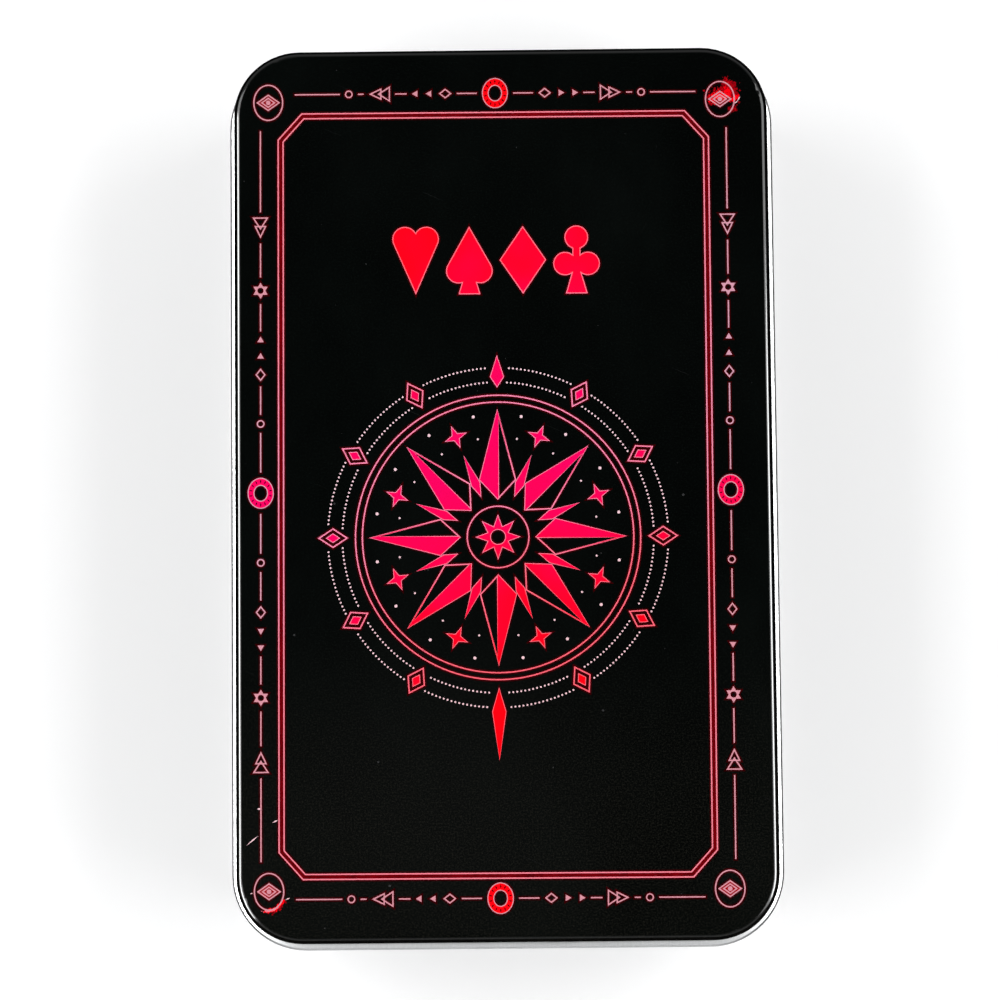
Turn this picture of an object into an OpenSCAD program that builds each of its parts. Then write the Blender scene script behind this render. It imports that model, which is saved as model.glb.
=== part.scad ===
// Flat rectangular card tin with a hinged lid, in tinplate.
// The lid is drawn in one piece and its edge is rolled outwards. The base is a wall band
// with an inward rolled rim and a double-seamed bottom. A wire in the lid's rear roll is
// the hinge pin, and two straps on the base's rear wall wrap round it.
// Frame: +X right, +Y towards the hinge, +Z up, origin under the middle of the tin.

/* [Tin] */
// Width of the lid over its skirt
lid_w = 78; // [66:0.5:110]
// Length of the lid over its skirt, front to hinge
lid_l = 129.8; // [118:0.1:170]
// Height of the closed tin
tin_h = 34; // [24:0.5:60]
// Radius of the lid's corners, seen from above
corner_r = 9.6; // [7:0.1:13]

/* [Sheet metal] */
// Thickness of the tinplate
sheet_t = 0.25; // [0.2:0.01:0.3]
// Outside radius of the bend round the lid's top
shoulder_r = 1.1; // [0.8:0.1:2.4]
// Outside diameter of the roll along the lid's edge
curl_d = 1.6; // [1.3:0.1:2.2]
// Outside diameter of the roll along the base's rim
rim_d = 1.2; // [1:0.1:1.8]

/* [Lid] */
// Height of the lid from the underside of its roll to its top
lid_h = 11; // [8:0.5:14]
// Gap between the base's wall and the inside of the lid's skirt
lid_gap = 0.35; // [0.3:0.05:0.6]
// Gap between the base's rim and the underside of the lid
lid_rest_gap = 0.1; // [0.05:0.05:0.4]

/* [Bottom seam] */
// Height of the seam from the ground to its upper edge
seam_h = 2.8; // [2.5:0.1:3.4]
// Gap between the folded layers of the seam
seam_gap = 0.05; // [0.04:0.01:0.08]
// Height of the bottom panel's upper face above the ground
panel_z = 2.7; // [2.5:0.1:3.4]
// Depth of the step in the bottom panel
panel_step = 0.5; // [0.3:0.1:0.8]
// Distance of the step from the wall
panel_step_inset = 6; // [4:0.5:12]

/* [Side seam] */
// Width of the lap where the wall band's ends overlap, inside the rear wall
lap_w = 3; // [2:0.5:6]
// Gap between the lap and the rolls and panel above and below it
lap_gap = 0.4; // [0.2:0.1:1]

/* [Hinge] */
// Width of each hinge strap
strap_w = 9; // [6:0.5:12]
// Thickness of each hinge strap
strap_t = 0.35; // [0.3:0.05:0.45]
// Length of a strap down the rear wall, below its roll
strap_l = 8; // [5:0.5:9]
// Distance of a strap's outer edge from where the corner bend starts
strap_inset = 2.9; // [1.5:0.1:5]
// Radius of a strap's lower corners
strap_corner_r = 1.5; // [0.5:0.1:2.5]
// Play of the wire in the lid's roll
wire_play = 0.05; // [0.03:0.01:0.08]
// Play of the wire in the straps
hinge_play = 0.06; // [0.04:0.01:0.1]
// Distance of the wire's ends from where the corner bends start
wire_inset = 0.9; // [0.2:0.1:1.2]
// Gap between a strap's edges and the notch in the lid
notch_side_gap = 0.4; // [0.3:0.05:0.8]
// Gap between a strap's roll and the notch above it
notch_top_gap = 0.4; // [0.3:0.05:0.8]

/* [Foil print] */
// Thickness of the stamped foil
foil_t = 0.04; // [0.03:0.01:0.1]
// Sideways offset of the print from the middle of the lid
print_shift = -1.2; // [-2:0.1:2]
// Distance of the print's middle from the middle of the lid, away from the hinge
print_drop = 0.15; // [-1:0.05:1]
// Clockwise turn of the print on the lid, in degrees
print_turn = 0.15; // [-0.5:0.05:0.5]
// Sideways offset of the end rows, suits and emblem within the print
motif_shift = 0.3; // [-1:0.05:1]
// Sideways offset of the corner medallions within the print
corner_shift = 0.15; // [-0.5:0.05:0.5]
// Width of the frame's and the ornaments' lines
line_w = 0.19; // [0.16:0.01:0.4]
// Distance between the frame's two lines
frame_gap = 0.72; // [0.6:0.02:1.2]
// Distance of the frame from the lid's long sides
frame_side = 7.5; // [7.4:0.1:9]
// Distance of the frame from the lid's short sides
frame_end = 9.2; // [9:0.1:12]
// Width that the frame's cut corners take off
cut_x = 3.5; // [2.5:0.1:5]
// Length that the frame's cut corners take off
cut_y = 3.9; // [2.5:0.1:5]
// Distance of the ornament columns from the lid's long sides
column_side = 5; // [4.9:0.1:5.2]
// Distance of the ornament rows from the lid's short sides
row_end = 6.45; // [6:0.05:6.5]
// Space between an ornament and the lines beside it
ornament_gap = 0.75; // [0.5:0.05:1]

/* [Medallions] */
// Distance of the corner medallions' middles from the lid's long sides
corner_medal_side = 6; // [5.7:0.1:6.2]
// Distance of the corner medallions' middles from the lid's short sides
corner_medal_end = 7.6; // [7.2:0.1:7.8]
// Width of a corner medallion
corner_medal_w = 4.4; // [3.8:0.1:4.6]
// Height of a corner medallion
corner_medal_h = 5.4; // [4.8:0.1:5.8]
// Width of a side medallion
side_medal_w = 3.8; // [3.4:0.1:4.2]
// Height of a side medallion
side_medal_h = 4.5; // [4:0.1:5]

/* [Card suits] */
// Distance of the row of suits from the frame's upper end
suits_drop = 21.9; // [18:0.1:24]
// Height of a suit
suit_h = 10; // [7:0.5:12]
// Width of a suit
suit_w = 6.8; // [5:0.1:7.2]
// Distance between the middles of two suits
suit_pitch = 7.8; // [7.6:0.1:9]

/* [Emblem] */
// Distance of the emblem's middle below the row of suits
emblem_drop = 40.4; // [38:0.1:42]
// Distance of the emblem's circle from the frame's long sides
emblem_side = 10.8; // [10:0.1:14]
// Distance between the emblem's two circles
circle_gap = 1; // [0.8:0.1:1.6]
// Number of long rays
rays = 8; // [6:1:10]
// Number of places round the emblem, each with a lozenge but for the top and bottom ones
lozenges = 12; // [8:2:14]
// Length of a lozenge, away from the emblem's middle
lozenge_l = 4.4; // [3:0.1:4.8]
// Width of a lozenge
lozenge_w = 2.9; // [1.8:0.1:3.4]
// Length of the spear above the emblem
finial_top = 4.8; // [3:0.1:6]
// Length of the spear below the emblem
finial_bottom = 10.5; // [6:0.1:12]

/* [Hidden] */
$fn = 96;

// Overshoot of a cut past the face that it opens
cut = 1;

// Lid
curl_r = curl_d / 2;
curl_bore = curl_r - sheet_t;
skirt_half_w = lid_w / 2;
skirt_half_l = lid_l / 2;
curl_z = tin_h - lid_h + curl_r;
// A roll stops this many degrees short of closing on its own wall
roll_open = 60;

// Base
base_half_w = skirt_half_w - sheet_t - lid_gap;
base_half_l = skirt_half_l - sheet_t - lid_gap;
base_r = corner_r - sheet_t - lid_gap;
rim_r = rim_d / 2;
rim_z = tin_h - sheet_t - lid_rest_gap - rim_r;

// Bottom seam, outwards from the wall's outer face
layer = sheet_t + seam_gap;
seam_out = 3 * layer;
chuck_in = -sheet_t - layer;
seam_bend_r = sheet_t + 0.2;
hook_low = 2 * layer + 0.35;
hook_high = seam_h - layer - 0.35;
panel_bend_r = 0.5;
step_run = 1;

// Hinge
pivot_y = skirt_half_l - sheet_t + curl_r;
pivot_z = curl_z;
wire_r = curl_bore - wire_play;
wire_l = 2 * (skirt_half_w - corner_r - wire_inset);
knuckle_bore = wire_r + hinge_play;
knuckle_r = knuckle_bore + strap_t;
knuckle_open = 45;
strap_x = skirt_half_w - corner_r - strap_inset - strap_w / 2;
notch_w = strap_w + 2 * notch_side_gap;
notch_h = knuckle_r + notch_top_gap;

// Foil print, measured from the middle of the print
frame_half_w = skirt_half_w - frame_side;
frame_half_l = skirt_half_l - frame_end;
column_x = skirt_half_w - column_side;
row_y = skirt_half_l - row_end;
corner_medal_x = skirt_half_w - corner_medal_side;
corner_medal_y = skirt_half_l - corner_medal_end;
suits_y = frame_half_l - suits_drop;
emblem_y = suits_y - emblem_drop;
emblem_r = frame_half_w - emblem_side;

// Sizes of the small ornaments
dot_r = 0.55;
ring_r = 0.57;
diamond_long = 0.95;
diamond_wide = 0.75;
triangle_long = 1.85;
triangle_wide = 2.4;
triangle_step = 1.25;
star_r = 1.2;
star_waist = 0.7;
star_hole = 0.45;

// Outer and inner lozenge and middle dot of a corner medallion, over the medallion's size
medal_outer = 0.4;
medal_inner = 0.25;
medal_dot = 0.075;
// Hole of a side medallion, and where its slots start and end, over the medallion's size
side_hole = 0.48;
slot_start = 0.62;
slot_end = 0.9;
slot_w = 0.2;
slots = 14;

// Radius of a heart's lobes and of a club's leaves, over the suit's width
heart_lobe = 0.27;
club_leaf = 0.255;
// Height of a spade's leaf, over the suit's height
spade_leaf = 0.84;
// Distance of a club's side leaves below the middle, over the suit's height
club_drop = 0.06;
// Half width of a club's upright core and lower edge of its cross bar, over the suit's height
club_core = 0.06;
club_bar = 0.1;
// Half widths of a stem's foot and neck, and the height of its neck, over the suit's height
stem_foot = 0.16;
stem_neck = 0.03;
stem_h = 0.45;

// Start, widest place, tip and half width of the long rays, over the emblem's radius
ray_root = 0.26;
ray_wide_at = 0.4;
ray_tip = 0.9;
ray_half = 0.13;
// The same of the short rays between them
short_root = 0.3;
short_wide_at = 0.4;
short_tip = 0.62;
short_half = 0.035;
// Place, tips and waist of the stars between the long rays, over the emblem's radius
small_star_at = 0.76;
small_star_tip = 0.085;
small_star_waist = 0.03;
// Ring, star tips, star waist and hole in the middle, over the emblem's radius
hub_ring = 0.22;
hub_tip = 0.16;
hub_waist = 0.08;
hub_hole = 0.05;
// Gap between the emblem's circle and the lozenges
lozenge_gap = 0.95;
// Size of the filled core of a lozenge, over the lozenge's size
lozenge_core = 0.48;
// Half width of a spear, over the emblem's radius
finial_half = 0.05;

// Ornaments from the middle of a row to its corner: how far along they sit, what they are,
// and 1 where a line leads on to the next one
ROW = [
  [0.248, "diamond", 0], [0.327, "dot", 0], [0.396, "dot", 1],
  [0.576, "triangles out", 1], [0.729, "ring", 1]
];
COLUMN = [
  [0.19, "ring", 1], [0.325, "diamond", 0], [0.375, "dot", 0], [0.42, "dot", 1],
  [0.557, "star", 1], [0.731, "triangles in", 1]
];

// ---------- helpers ----------

// Sweeps a section round a rectangle with round corners.
// The section's x is the distance outwards from that path, and its y is the height.
module sweep_round(half_w, half_l, corner) {
  run_w = half_w - corner;
  run_l = half_l - corner;
  for (side = [0, 180])
    rotate([0, 0, side]) {
      translate([half_w, run_l, 0])
        rotate([90, 0, 0])
          linear_extrude(height = 2 * run_l)
            children();
      translate([-run_w, half_l, 0])
        rotate([90, 0, 90])
          linear_extrude(height = 2 * run_w)
            children();
      translate([run_w, run_l, 0])
        rotate_extrude(angle = 90)
          translate([corner, 0])
            children();
      translate([-run_w, run_l, 0])
        rotate([0, 0, 90])
          rotate_extrude(angle = 90)
            translate([corner, 0])
              children();
    }
}

// Flat outline of a rectangle with round corners
module round_rect(half_w, half_l, corner) {
  square([2 * half_w, 2 * (half_l - corner)], center = true);
  square([2 * (half_w - corner), 2 * half_l], center = true);
  for (side_x = [-1, 1], side_y = [-1, 1])
    translate([side_x * (half_w - corner), side_y * (half_l - corner)])
      circle(r = corner);
}

// Upright rectangle from two corners
module slab(x0, x1, y0, y1) {
  translate([x0, y0])
    square([x1 - x0, y1 - y0]);
}

// Pie piece from one angle on to another, less than half a turn
module wedge(from, to, reach) {
  middle = (from + to) / 2;
  far = reach / cos((to - from) / 4);
  polygon([
    [0, 0],
    reach * [cos(from), sin(from)],
    far * [cos((from + middle) / 2), sin((from + middle) / 2)],
    far * [cos((middle + to) / 2), sin((middle + to) / 2)],
    reach * [cos(to), sin(to)]
  ]);
}

// Section of a rolled edge, open between two angles
module roll(outer, inner, open_from, open_to) {
  difference() {
    circle(r = outer);
    circle(r = inner);
    wedge(open_from, open_to, 2 * outer);
  }
}

// Section of a quarter bend that goes from level, on its left, to upright, on its right
module quarter_bend(outer, inner) {
  difference() {
    intersection() {
      circle(r = outer);
      square(outer);
    }
    circle(r = inner);
  }
}

// ---------- lid ----------

module lid_section() {
  translate([-shoulder_r, tin_h - shoulder_r])
    quarter_bend(shoulder_r, shoulder_r - sheet_t);
  slab(-sheet_t, 0, curl_z, tin_h - shoulder_r);
  translate([curl_r - sheet_t, curl_z])
    roll(curl_r, curl_bore, 180 - roll_open, 180);
}

// Room for one hinge strap in the lid's rear roll and skirt
module strap_notch(x) {
  inner = skirt_half_l - sheet_t - lid_gap / 2;
  translate([x - notch_w / 2, inner, pivot_z - curl_r - cut])
    cube([notch_w, curl_d + cut, notch_h + curl_r + cut]);
}

module lid_shell() {
  color("#0c0c0e")
    difference() {
      union() {
        sweep_round(skirt_half_w, skirt_half_l, corner_r)
          lid_section();
        translate([0, 0, tin_h - sheet_t])
          linear_extrude(height = sheet_t)
            round_rect(skirt_half_w - shoulder_r, skirt_half_l - shoulder_r, corner_r - shoulder_r);
      }
      for (side = [-1, 1])
        strap_notch(side * strap_x);
    }
}

// ---------- base ----------

// Section of the wall: rolled rim, wall, and the hook that the seam locks
module wall_section() {
  hook_in = 2 * layer - sheet_t + seam_gap;
  translate([-rim_r, rim_z])
    roll(rim_r, rim_r - sheet_t, 360 - roll_open, 360);
  slab(-sheet_t, 0, layer, rim_z);
  slab(-sheet_t, hook_in + sheet_t, layer, layer + sheet_t);
  slab(hook_in, hook_in + sheet_t, layer, hook_high);
}

module base_wall() {
  lap_low = panel_z + lap_gap;
  lap_high = rim_z - rim_r - lap_gap;
  color("#151517") {
    sweep_round(base_half_w, base_half_l, base_r)
      wall_section();
    translate([-lap_w / 2, base_half_l - 2 * sheet_t, lap_low])
      cube([lap_w, sheet_t, lap_high - lap_low]);
  }
}

// Section of the bottom plate: stepped panel, chuck wall, and the hook over the wall's own
module plate_section() {
  step_out = -panel_step_inset;
  step_in = step_out - step_run;
  low_z = panel_z - panel_step;
  flat_in = chuck_in - panel_bend_r;
  // outer edge of the panel, and the step down from it
  slab(step_out, flat_in, panel_z - sheet_t, panel_z);
  polygon([
    [step_in, low_z - sheet_t], [step_out, panel_z - sheet_t],
    [step_out, panel_z], [step_in, low_z]
  ]);
  // bend into the chuck wall
  translate([flat_in, panel_z - panel_bend_r])
    quarter_bend(panel_bend_r, panel_bend_r - sheet_t);
  slab(chuck_in - sheet_t, chuck_in, seam_bend_r, panel_z - panel_bend_r);
}

// Section of the seam: round the foot of the wall, up outside and down into its hook
module seam_section() {
  inner = chuck_in - sheet_t;
  foot_out = seam_out - seam_bend_r;
  foot_in = inner + seam_bend_r;
  slab(foot_in, foot_out, 0, sheet_t);
  translate([foot_out, seam_bend_r])
    mirror([0, 1])
      quarter_bend(seam_bend_r, seam_bend_r - sheet_t);
  translate([foot_in, seam_bend_r])
    mirror([1, 0])
      mirror([0, 1])
        quarter_bend(seam_bend_r, seam_bend_r - sheet_t);
  slab(seam_out - sheet_t, seam_out, seam_bend_r, seam_h - sheet_t);
  translate([seam_out - sheet_t, seam_h - sheet_t])
    quarter_bend(sheet_t, 0);
  slab(seam_gap + sheet_t, seam_out - sheet_t, seam_h - sheet_t, seam_h);
  translate([seam_gap + sheet_t, seam_h - sheet_t])
    mirror([1, 0])
      quarter_bend(sheet_t, 0);
  slab(seam_gap, seam_gap + sheet_t, hook_low, seam_h - sheet_t);
}

module bottom_plate() {
  inset = panel_step_inset + step_run;
  color("#b9bcc0") {
    sweep_round(base_half_w, base_half_l, base_r) {
      plate_section();
      seam_section();
    }
    translate([0, 0, panel_z - panel_step - sheet_t])
      linear_extrude(height = sheet_t)
        round_rect(base_half_w - inset, base_half_l - inset, base_r - inset);
  }
}

// ---------- hinge ----------

// A strap that is rolled round the wire, bent under the lid's roll and welded to the wall
module hinge_strap(side) {
  under = pivot_z - knuckle_r;
  reach = pivot_y - base_half_l;
  color("#a8abb0")
    translate([side * strap_x, 0, 0]) {
      translate([-strap_w / 2, pivot_y, pivot_z])
        rotate([90, 0, 90])
          linear_extrude(height = strap_w)
            roll(knuckle_r, knuckle_bore, 270 - knuckle_open, 270);
      translate([-strap_w / 2, base_half_l, under])
        cube([strap_w, reach, strap_t]);
      translate([0, base_half_l + strap_t, under])
        rotate([90, 0, 0])
          linear_extrude(height = strap_t)
            strap_outline();
    }
}

// Outline of a strap on the wall, hanging from its bend
module strap_outline() {
  half = strap_w / 2;
  slab(-half, half, strap_corner_r - strap_l, strap_t);
  slab(strap_corner_r - half, half - strap_corner_r, -strap_l, strap_corner_r - strap_l);
  for (side = [-1, 1])
    translate([side * (half - strap_corner_r), strap_corner_r - strap_l])
      circle(r = strap_corner_r);
}

module hinge_strap_left() {
  hinge_strap(-1);
}

module hinge_strap_right() {
  hinge_strap(1);
}

module hinge_wire() {
  color("#c4c6c8")
    translate([-wire_l / 2, pivot_y, pivot_z])
      rotate([0, 90, 0])
        cylinder(r = wire_r, h = wire_l);
}

// ---------- foil print ----------

// Puts a flat drawing on the lid as foil
module foil(tone) {
  color(tone)
    translate([print_shift, -print_drop, tin_h])
      rotate(-print_turn)
        linear_extrude(height = foil_t)
          children();
}

// Corners of a rectangle with cut corners, every side moved inwards by the same distance
function cut_rect(inward) =
  let(
    slope = norm([cut_x, cut_y]),
    half_w = frame_half_w - inward,
    half_l = frame_half_l - inward,
    off_x = cut_x - inward + inward * (slope - cut_x) / cut_y,
    off_y = cut_y - inward + inward * (slope - cut_y) / cut_x
  )
  [
    [half_w - off_x, half_l], [half_w, half_l - off_y],
    [half_w, off_y - half_l], [half_w - off_x, -half_l],
    [off_x - half_w, -half_l], [-half_w, off_y - half_l],
    [-half_w, half_l - off_y], [off_x - half_w, half_l]
  ];

// Points on an ellipse
function ellipse(half_w, half_h) =
  [for (i = [0 : 47]) [half_w * cos(7.5 * i), half_h * sin(7.5 * i)]];

// Points of a star, its first tip pointing along +x
function star(tips, outer, waist) =
  [for (i = [0 : 2 * tips - 1])
    let(angle = 180 * i / tips, r = i % 2 == 0 ? outer : waist)
      r * [cos(angle), sin(angle)]];

// Corners of a diamond
function diamond(half_w, half_h) = [[half_w, 0], [0, half_h], [-half_w, 0], [0, -half_h]];

// The corners of a triangle moved inwards, so that each side moves by the same distance
function inset_triangle(p, inward) =
  let(
    a = norm(p[1] - p[2]),
    b = norm(p[2] - p[0]),
    c = norm(p[0] - p[1]),
    s = (a + b + c) / 2,
    middle = (a * p[0] + b * p[1] + c * p[2]) / (2 * s),
    inner_r = sqrt((s - a) * (s - b) * (s - c) / s),
    k = 1 - inward / inner_r
  )
  [for (q = p) middle + k * (q - middle)];

module diamond_line(half_w, half_h) {
  inner_r = half_w * half_h / norm([half_w, half_h]);
  k = 1 - line_w / inner_r;
  difference() {
    polygon(diamond(half_w, half_h));
    polygon(diamond(k * half_w, k * half_h));
  }
}

module ring_line(r) {
  difference() {
    circle(r = r);
    circle(r = r - line_w);
  }
}

module ellipse_line(half_w, half_h) {
  difference() {
    polygon(ellipse(half_w, half_h));
    polygon(ellipse(half_w - line_w, half_h - line_w));
  }
}

// An outlined triangle that points along +x
module triangle_line(start, length, width) {
  corners = [[start, -width / 2], [start + length, 0], [start, width / 2]];
  difference() {
    polygon(corners);
    polygon(inset_triangle(corners, line_w));
  }
}

// A large and a small triangle, one in the tip of the other, that point along +x
module triangles() {
  start = -(triangle_long + triangle_step) / 2;
  triangle_line(start, triangle_long, triangle_wide);
  triangle_line(start + triangle_step, triangle_long, 3 / 4 * triangle_wide);
}

// One small ornament, drawn along +x
module ornament(kind) {
  if (kind == "dot")
    polygon(star(3, dot_r, dot_r / 2));
  if (kind == "ring")
    ring_line(ring_r);
  if (kind == "diamond")
    diamond_line(diamond_long, diamond_wide);
  if (kind == "triangles out")
    triangles();
  if (kind == "triangles in")
    mirror([1, 0])
      triangles();
  if (kind == "star")
    difference() {
      polygon(star(6, star_r, star_waist));
      circle(r = star_hole);
    }
}

// How far an ornament reaches along its row
function reach(kind) =
  kind == "dot" ? dot_r :
  kind == "ring" ? ring_r :
  kind == "diamond" ? diamond_long :
  kind == "star" ? star_r : (triangle_long + triangle_step) / 2;

// Half a row of ornaments along +x, from the middle medallion to the corner's
module half_row(items, start, end) {
  last = len(items) - 1;
  slab(start, items[0][0] * end - reach(items[0][1]) - ornament_gap, -line_w / 2, line_w / 2);
  for (i = [0 : last]) {
    here = items[i][0] * end;
    after = here + reach(items[i][1]) + ornament_gap;
    next = i == last ? end : items[i + 1][0] * end - reach(items[i + 1][1]) - ornament_gap;
    translate([here, 0])
      ornament(items[i][1]);
    if (items[i][2] == 1)
      slab(after, next, -line_w / 2, line_w / 2);
  }
}

module foil_frame() {
  foil("#e0163a")
    for (inward = [0, frame_gap])
      difference() {
        polygon(cut_rect(inward));
        polygon(cut_rect(inward + line_w));
      }
}

module foil_border() {
  row_start = side_medal_w / 2 + ornament_gap;
  row_stop = corner_medal_x - corner_medal_w / 2 - 2 * ornament_gap;
  column_start = side_medal_h / 2 + ornament_gap;
  column_stop = corner_medal_y - corner_medal_h / 2 - 2 * ornament_gap;
  foil("#e8486a") {
    for (side = [-1, 1], way = [0, 180])
      translate([motif_shift, side * row_y])
        rotate(way)
          half_row(ROW, row_start, row_stop);
    for (side = [-1, 1], way = [90, 270])
      translate([side * column_x, 0])
        rotate(way)
          half_row(COLUMN, column_start, column_stop);
  }
}

module foil_corner_medallions() {
  foil("#e8486a")
    for (side_x = [-1, 1], side_y = [-1, 1])
      translate([corner_shift + side_x * corner_medal_x, side_y * corner_medal_y]) {
        ellipse_line(corner_medal_w / 2, corner_medal_h / 2);
        for (share = [medal_outer, medal_inner])
          diamond_line(share * corner_medal_w, share * corner_medal_w / sqrt(2));
        circle(r = medal_dot * corner_medal_w);
      }
}

// An oval ring with a wreath of slots
module side_medallion() {
  half_w = side_medal_w / 2;
  half_h = side_medal_h / 2;
  middle = (slot_start + slot_end) / 2;
  difference() {
    polygon(ellipse(half_w, half_h));
    polygon(ellipse(side_hole * half_w, side_hole * half_h));
    for (i = [0 : slots - 1]) {
      angle = 360 * (i + 1 / 2) / slots;
      ray = [half_w * cos(angle), half_h * sin(angle)];
      across = slot_w / 2 * [-sin(angle), cos(angle)];
      polygon([slot_start * ray, middle * ray + across, slot_end * ray, middle * ray - across]);
    }
  }
}

module foil_side_medallions() {
  foil("#e8486a") {
    for (side = [-1, 1])
      translate([side * column_x, 0])
        side_medallion();
    for (side = [-1, 1])
      translate([motif_shift, side * row_y])
        side_medallion();
  }
}

// A heart that points down, drawn about its middle
module heart(width, height) {
  lobe = heart_lobe * width;
  lobe_x = width / 2 - lobe;
  lobe_y = height / 2 - lobe;
  tip = [0, -height / 2];
  far = norm([lobe_x, lobe_y - tip[1]]);
  side = atan2(lobe_y - tip[1], lobe_x) - asin(lobe / far);
  touch = sqrt(far * far - lobe * lobe) * [cos(side), sin(side)];
  for (x = [-lobe_x, lobe_x])
    translate([x, lobe_y])
      circle(r = lobe);
  polygon([
    tip, tip + touch, [lobe_x, lobe_y], [-lobe_x, lobe_y], tip + [-touch[0], touch[1]]
  ]);
}

// The foot of a spade or a club
module suit_stem() {
  foot = stem_foot * suit_h;
  neck = stem_neck * suit_h;
  polygon([
    [-foot, -suit_h / 2], [foot, -suit_h / 2],
    [neck, (stem_h - 1 / 2) * suit_h], [-neck, (stem_h - 1 / 2) * suit_h]
  ]);
}

module spade() {
  leaf_h = spade_leaf * suit_h;
  translate([0, (suit_h - leaf_h) / 2])
    rotate(180)
      heart(suit_w, leaf_h);
  suit_stem();
}

module club() {
  leaf = club_leaf * suit_w;
  side_x = suit_w / 2 - leaf;
  core = club_core * suit_h;
  translate([0, suit_h / 2 - leaf])
    circle(r = leaf);
  for (side = [-1, 1])
    translate([side * side_x, -club_drop * suit_h])
      circle(r = leaf);
  slab(-side_x, side_x, -club_bar * suit_h, 0);
  slab(-core, core, -2 * club_bar * suit_h, suit_h / 2 - leaf);
  suit_stem();
}

module foil_suits() {
  foil("#f0102c")
    translate([motif_shift, suits_y]) {
      translate([-1.5 * suit_pitch, 0])
        heart(suit_w, suit_h);
      translate([-0.5 * suit_pitch, 0])
        spade();
      translate([0.5 * suit_pitch, 0])
        polygon(diamond(suit_w / 2, suit_h / 2));
      translate([1.5 * suit_pitch, 0])
        club();
    }
}

// One long ray along +x, one half filled and the other drawn in outline
module split_ray(root, wide_at, tip, half) {
  filled = [[root, 0], [wide_at, half], [tip, 0]];
  outlined = [[root, 0], [tip, 0], [wide_at, -half]];
  polygon(filled);
  difference() {
    polygon(outlined);
    polygon(inset_triangle(outlined, line_w));
  }
}

// Spear that points along +x, widest where asked
module spear(start, wide_at, end, half) {
  polygon([[start, 0], [wide_at, half], [end, 0], [wide_at, -half]]);
}

module emblem_rays() {
  turn = 360 / rays;
  for (i = [0 : rays - 1]) {
    rotate(90 + turn * i)
      split_ray(
        ray_root * emblem_r, ray_wide_at * emblem_r, ray_tip * emblem_r, ray_half * emblem_r
      );
    rotate(90 + turn * (i + 1 / 2)) {
      spear(
        short_root * emblem_r, short_wide_at * emblem_r, short_tip * emblem_r,
        short_half * emblem_r
      );
      translate([small_star_at * emblem_r, 0])
        polygon(star(4, small_star_tip * emblem_r, small_star_waist * emblem_r));
    }
  }
}

module emblem_centre() {
  ring_line(hub_ring * emblem_r);
  difference() {
    polygon(star(8, hub_tip * emblem_r, hub_waist * emblem_r));
    circle(r = hub_hole * emblem_r);
  }
}

// An outlined lozenge with a filled core
module lozenge() {
  core = lozenge_core / 2;
  diamond_line(lozenge_l / 2, lozenge_w / 2);
  polygon(diamond(core * lozenge_l, core * lozenge_w));
}

// A finial of this length on the emblem's circle
module finial(length) {
  start = emblem_r + circle_gap;
  spear(start, start + length / 3, start + length, finial_half * emblem_r);
}

module foil_emblem() {
  foil("#e8104c")
    translate([motif_shift, emblem_y]) {
      ring_line(emblem_r);
      ring_line(emblem_r - circle_gap);
      emblem_rays();
      emblem_centre();
      for (i = [0 : lozenges - 1])
        if (i % (lozenges / 2) != 0)
          rotate(90 + 360 * i / lozenges)
            translate([emblem_r + lozenge_gap + lozenge_l / 2, 0])
              lozenge();
      rotate(90)
        finial(finial_top);
      rotate(-90)
        finial(finial_bottom);
    }
}

base_wall();
bottom_plate();
hinge_strap_left();
hinge_strap_right();
lid_shell();
hinge_wire();
foil_frame();
foil_border();
foil_corner_medallions();
foil_side_medallions();
foil_suits();
foil_emblem();
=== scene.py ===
"""Card tin with a hinged lid: finishes, fine foil work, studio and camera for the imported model."""

import math
import random

import bmesh
import bpy
from mathutils import Euler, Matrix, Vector


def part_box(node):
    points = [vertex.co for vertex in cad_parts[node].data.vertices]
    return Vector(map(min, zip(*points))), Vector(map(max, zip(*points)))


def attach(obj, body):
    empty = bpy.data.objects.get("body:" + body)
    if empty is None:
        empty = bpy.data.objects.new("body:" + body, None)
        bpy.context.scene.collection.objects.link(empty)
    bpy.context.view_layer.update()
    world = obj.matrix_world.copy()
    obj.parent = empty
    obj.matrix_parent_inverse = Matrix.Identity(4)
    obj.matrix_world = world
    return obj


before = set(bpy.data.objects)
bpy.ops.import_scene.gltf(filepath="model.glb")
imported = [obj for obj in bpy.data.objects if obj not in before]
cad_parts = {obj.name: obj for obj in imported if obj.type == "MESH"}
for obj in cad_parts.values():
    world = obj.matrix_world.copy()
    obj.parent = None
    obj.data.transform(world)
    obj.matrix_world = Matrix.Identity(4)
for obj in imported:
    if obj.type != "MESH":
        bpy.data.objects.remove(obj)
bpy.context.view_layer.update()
scene = bpy.context.scene
MM = 0.001

# ---------- the tin ----------
SHEET = 0.25 * MM
CURL_R = 0.8 * MM
RIM_R = 0.6 * MM
SHOULDER_R = 1.1 * MM
CORNER_R = 9.6 * MM
LID_GAP = 0.35 * MM
SEAM_H = 2.8 * MM
STRAP_T = 0.35 * MM
WELD_HEIGHT = 3.4 * MM
WELD_APART = 4.4 * MM

lid_low, lid_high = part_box("lid_shell")
LID_TOP = lid_high.z
CURL_Z = lid_low.z + CURL_R
SKIRT_HALF_W = lid_high.x - (2 * CURL_R - SHEET)
SKIRT_HALF_L = -lid_low.y - (2 * CURL_R - SHEET)
BASE_HALF_W = SKIRT_HALF_W - SHEET - LID_GAP
BASE_HALF_L = SKIRT_HALF_L - SHEET - LID_GAP
BASE_R = CORNER_R - SHEET - LID_GAP
RIM_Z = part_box("base_wall")[1].z - RIM_R

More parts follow.
